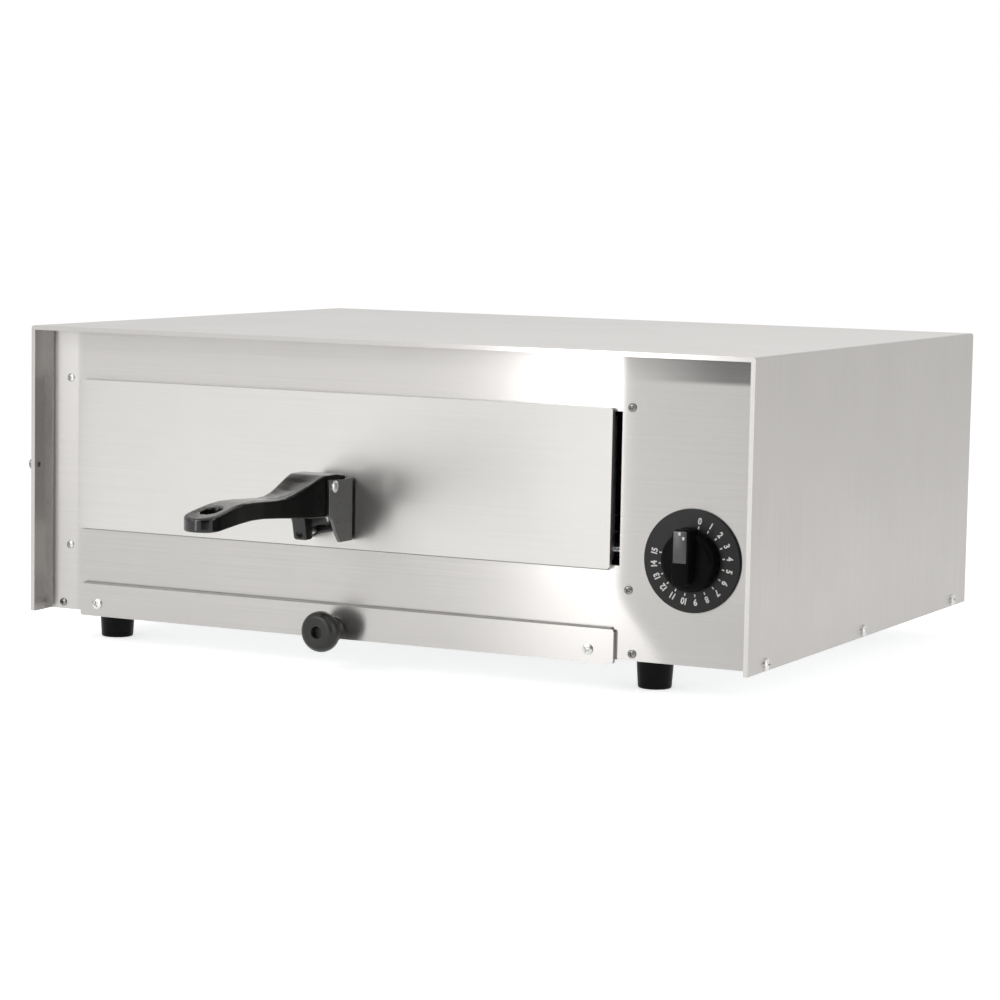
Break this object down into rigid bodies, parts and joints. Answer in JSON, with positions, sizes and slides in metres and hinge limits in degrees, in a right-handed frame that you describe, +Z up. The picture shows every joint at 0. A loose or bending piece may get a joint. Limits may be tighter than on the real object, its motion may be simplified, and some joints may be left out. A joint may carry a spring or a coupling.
{
  "type": "electric pizza oven",
  "caption": "Low countertop pizza oven in brushed stainless sheet, with a slide-out door and wire rack on a pan handle, a crumb tray and a clockwork timer.",
  "frame": {"origin": "on the surface that the feet stand on, in the middle of the whole part's footprint, handle included", "axes": "+X to the right as seen from the front, +Y to the back (the handle points to -Y), +Z up"},
  "size_m": [0.4856, 0.517, 0.198],
  "materials": {
    "stainless": "brushed stainless sheet",
    "aluminised": "aluminised steel sheet, satin",
    "zinc": "zinc-plated steel",
    "rack_wire": "chrome-plated wire",
    "bracket_steel": "grey satin steel",
    "element_steel": "heat-darkened steel tube",
    "bakelite": "black moulded bakelite",
    "dial_black": "black dial with pale figures",
    "inlay": "satin grey inlay",
    "foot_rubber": "black rubber",
    "bushing_nylon": "black nylon",
    "cutout_case": "dark phenolic",
    "insulator": "unglazed steatite",
    "blanket": "ceramic fibre felt",
    "lead_cover": "glass-braid lead",
    "lead_dark": "dark silicone lead",
    "brass": "turned brass",
    "timer_case": "passivated steel case",
    "bell_steel": "nickel-plated bell"
  },
  "bodies": {
    "cabinet": {"outer_cover": "stainless", "cover_side_screws": "zinc", "cover_edge_screw": "zinc", "front_panel": "stainless", "front_panel_screws": "zinc", "rear_panel": "stainless", "rear_panel_screws": "zinc", "base_pan": "aluminised", "foot_front_left": "foot_rubber", "foot_front_right": "foot_rubber", "foot_rear_left": "foot_rubber", "foot_rear_right": "foot_rubber", "foot_screws": "zinc", "chamber_liner": "aluminised", "chamber_rear_wall": "aluminised", "rack_guide_left": "zinc", "rack_guide_right": "zinc", "tray_guide_left": "zinc", "tray_guide_right": "zinc", "upper_element": "element_steel", "lower_element": "element_steel", "element_clips": "zinc", "element_insulators": "insulator", "element_studs": "zinc", "insulation_blanket": "blanket", "heat_shield": "aluminised", "thermal_cutout": "cutout_case", "cutout_screws": "zinc", "terminal_block": "insulator", "terminal_block_screws": "zinc", "earth_stud": "brass", "cord_bushing": "bushing_nylon", "element_leads": "lead_cover", "supply_leads": "lead_dark", "timer_body": "timer_case", "timer_bell": "bell_steel", "timer_screws": "zinc", "dial_plate": "dial_black"},
    "rack_door": {"door_panel": "stainless", "door_inner_pan": "aluminised", "wire_rack": "rack_wire", "rack_clips": "zinc", "rack_clip_screws": "zinc", "handle_bracket": "bracket_steel", "bracket_screws": "zinc", "handle": "bakelite", "handle_pivot_bolt": "zinc", "handle_lug_screw": "zinc", "lug_sleeve": "bakelite"},
    "tray": {"crumb_tray": "aluminised", "tray_front": "stainless", "tray_front_screws": "zinc", "tray_knob": "bakelite", "tray_knob_bolt": "zinc"},
    "knob": {"timer_knob": "bakelite", "knob_insert": "inlay", "timer_shaft": "zinc"}
  },
  "joints": [
    {"name": "rack_slide", "type": "slide", "parent": "cabinet", "child": "rack_door", "axis": [0, -1, 0], "range_m": [0, 0.27]},
    {"name": "tray_slide", "type": "slide", "parent": "cabinet", "child": "tray", "axis": [0, -1, 0], "range_m": [0, 0.28]},
    {"name": "timer_turn", "type": "hinge", "parent": "cabinet", "child": "knob", "pos_m": [0.1968, -0.1025, 0.081], "axis": [0, 1, 0], "range_deg": [0, 281]}
  ]
}
